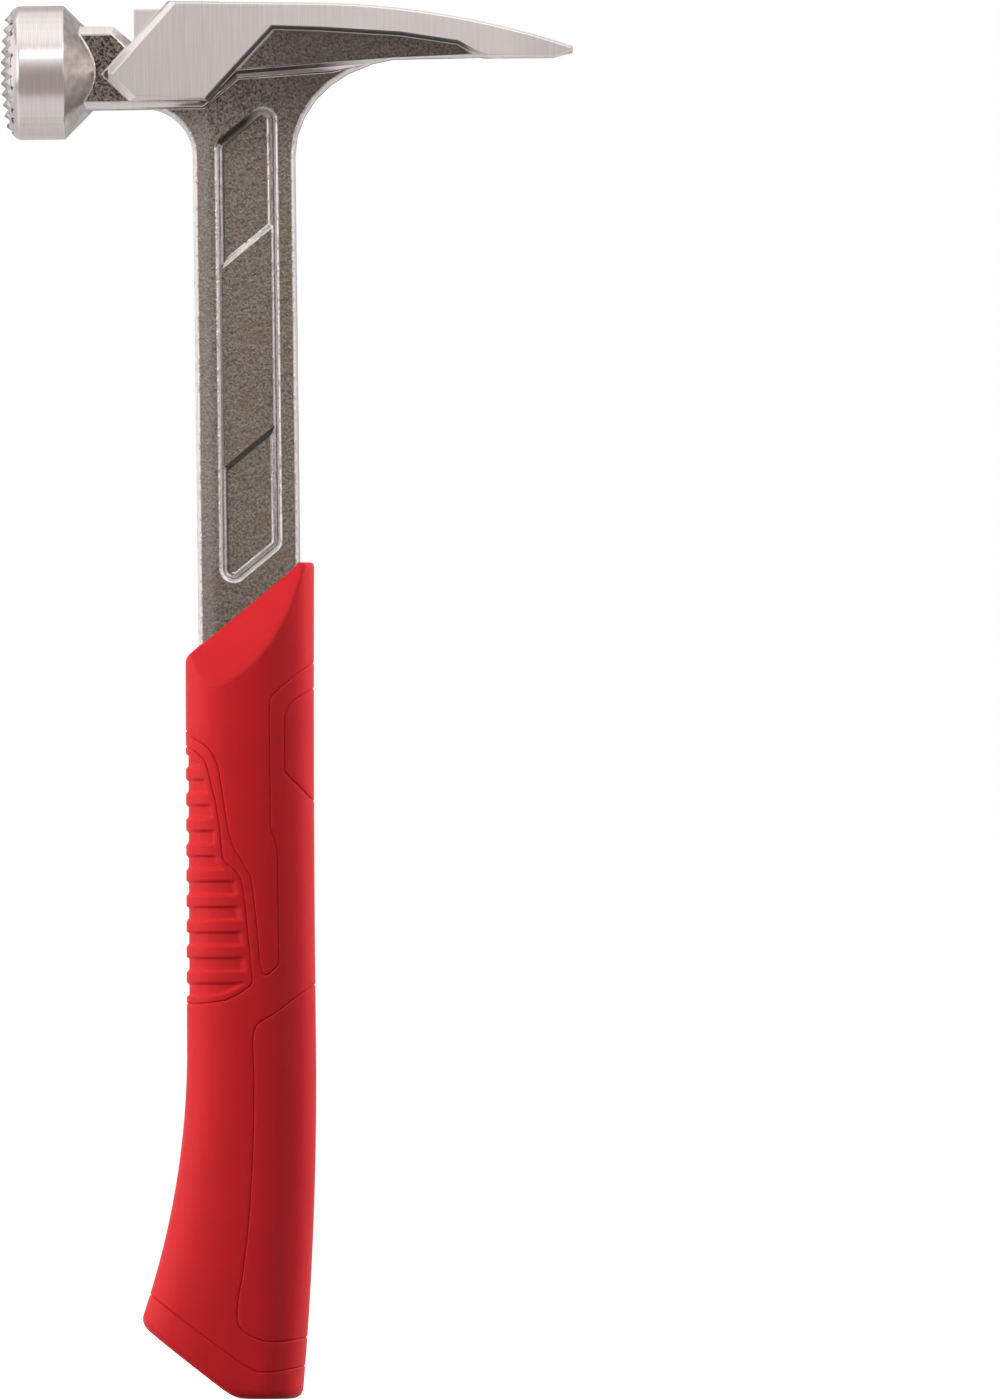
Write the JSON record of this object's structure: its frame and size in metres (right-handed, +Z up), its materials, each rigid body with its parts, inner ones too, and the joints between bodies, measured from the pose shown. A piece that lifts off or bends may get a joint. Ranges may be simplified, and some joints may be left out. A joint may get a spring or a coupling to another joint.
{
  "type": "framing hammer",
  "caption": "Forged steel framing hammer with a milled face, a nail starter, straight ripping claws, an I-beam shaft and a moulded grip with a ribbed finger panel.",
  "frame": {"origin": "middle of the bounding box's bottom, at the level of the butt", "axes": "+Z up the handle to the head, -X the way the striking face looks, +X the way the claws point, -Y the side that the picture shows; symmetric about the XZ plane"},
  "size_m": [0.1562, 0.0366, 0.381],
  "materials": {
    "forged_steel": "satin forged skin, with ground bright cheeks and claw bands",
    "magnet": "nickel plated",
    "grip_core": "moulded, matte",
    "grip_shell": "soft-touch, satin",
    "grip_sleeve": "soft-touch, satin",
    "grip_panel": "soft-touch, fine texture"
  },
  "bodies": {
    "root": {"forging": "forged_steel", "nail_magnet": "magnet", "grip_core": "grip_core", "grip_collar": "grip_shell", "grip_sleeve": "grip_sleeve", "finger_pad": "grip_panel", "thumb_pad": "grip_panel", "palm_pad": "grip_panel", "butt_cap": "grip_shell"}
  },
  "joints": []
}
